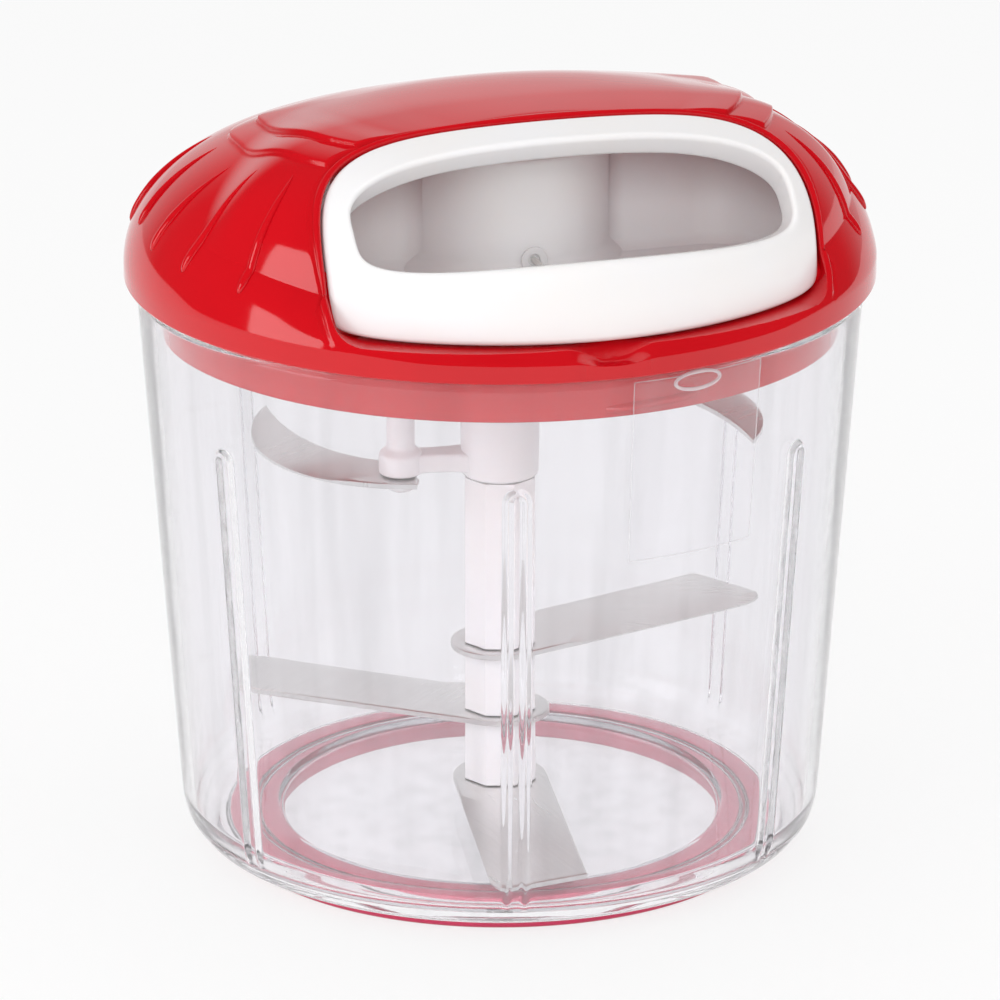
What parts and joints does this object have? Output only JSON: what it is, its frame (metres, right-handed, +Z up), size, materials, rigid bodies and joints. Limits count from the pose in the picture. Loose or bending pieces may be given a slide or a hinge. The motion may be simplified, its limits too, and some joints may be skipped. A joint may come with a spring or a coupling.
{
  "type": "manual food chopper",
  "caption": "Pull-handle food chopper: clear bowl with a non-slip base ring, red domed lid, white pull handle on a cord drive, and a central spindle of steel blades.",
  "frame": {"origin": "centre of the base at the bottom of the non-slip ring", "axes": "+Z up along the bowl axis; the pull handle faces -Y; +X to the right seen from the handle side"},
  "size_m": [0.161, 0.161, 0.1703],
  "materials": {
    "clear_plastic": "clear gloss moulded plastic",
    "base_rubber": "soft matte",
    "pin_steel": "turned",
    "spindle_plastic": "satin moulded",
    "blade_steel": "satin with ground edges",
    "lid_red": "high gloss moulded",
    "screw_steel": "plain",
    "housing_white": "satin moulded",
    "handle_white": "gloss moulded",
    "eyelet_steel": "polished",
    "drive_grey": "moulded",
    "spring_steel": "rolled strip",
    "cord_fibre": "braided"
  },
  "bodies": {
    "bowl": {"bowl_shell": "clear_plastic", "base_ring": "base_rubber", "pivot_pin": "pin_steel"},
    "lid": {"lid_base": "lid_red", "screw_front_right": "screw_steel", "screw_front_left": "screw_steel", "screw_side_right": "screw_steel", "screw_side_left": "screw_steel", "dome_cover": "lid_red", "mechanism_housing": "housing_white", "cord_eyelet": "eyelet_steel", "drum_axle": "pin_steel"},
    "drum": {"drive_coupling": "drive_grey", "cord_drum": "drive_grey", "spring_cover": "drive_grey", "power_spring": "spring_steel", "pawl_front": "blade_steel", "pawl_rear": "blade_steel", "cord_winding": "cord_fibre"},
    "handle": {"pull_handle": "handle_white", "cord_anchor": "drive_grey", "cord_run": "cord_fibre"},
    "blades": {"spindle_core": "spindle_plastic", "spacer_lower": "spindle_plastic", "spacer_middle": "spindle_plastic", "spacer_upper": "spindle_plastic", "blade_low": "blade_steel", "blade_middle": "blade_steel", "blade_high": "blade_steel", "curved_blade_left": "blade_steel", "curved_blade_right": "blade_steel", "blade_rivet_left": "spindle_plastic", "blade_rivet_right": "spindle_plastic", "blade_carrier": "spindle_plastic"}
  },
  "joints": [
    {"name": "lid_lift", "type": "slide", "parent": "bowl", "child": "lid", "axis": [0, 0, 1], "range_m": [0, 0.06]},
    {"name": "handle_pull", "type": "slide", "parent": "lid", "child": "handle", "axis": [0, -1, 0], "range_m": [0, 0.3], "stiffness_N_per_m": 20},
    {"name": "drum_spin", "type": "hinge", "parent": "lid", "child": "drum", "pos_m": [0, 0, 0.14], "axis": [0, 0, 1], "range_deg": [0, 1045]},
    {"name": "blade_spin", "type": "hinge", "parent": "bowl", "child": "blades", "pos_m": [0, 0, 0.06], "axis": [0, 0, 1], "range_deg": [0, 1045]}
  ],
  "couplings": [
    {"joint": "drum_spin", "follows": "handle_pull", "rad_per_m": 60.42},
    {"joint": "blade_spin", "follows": "handle_pull", "rad_per_m": 60.42}
  ]
}
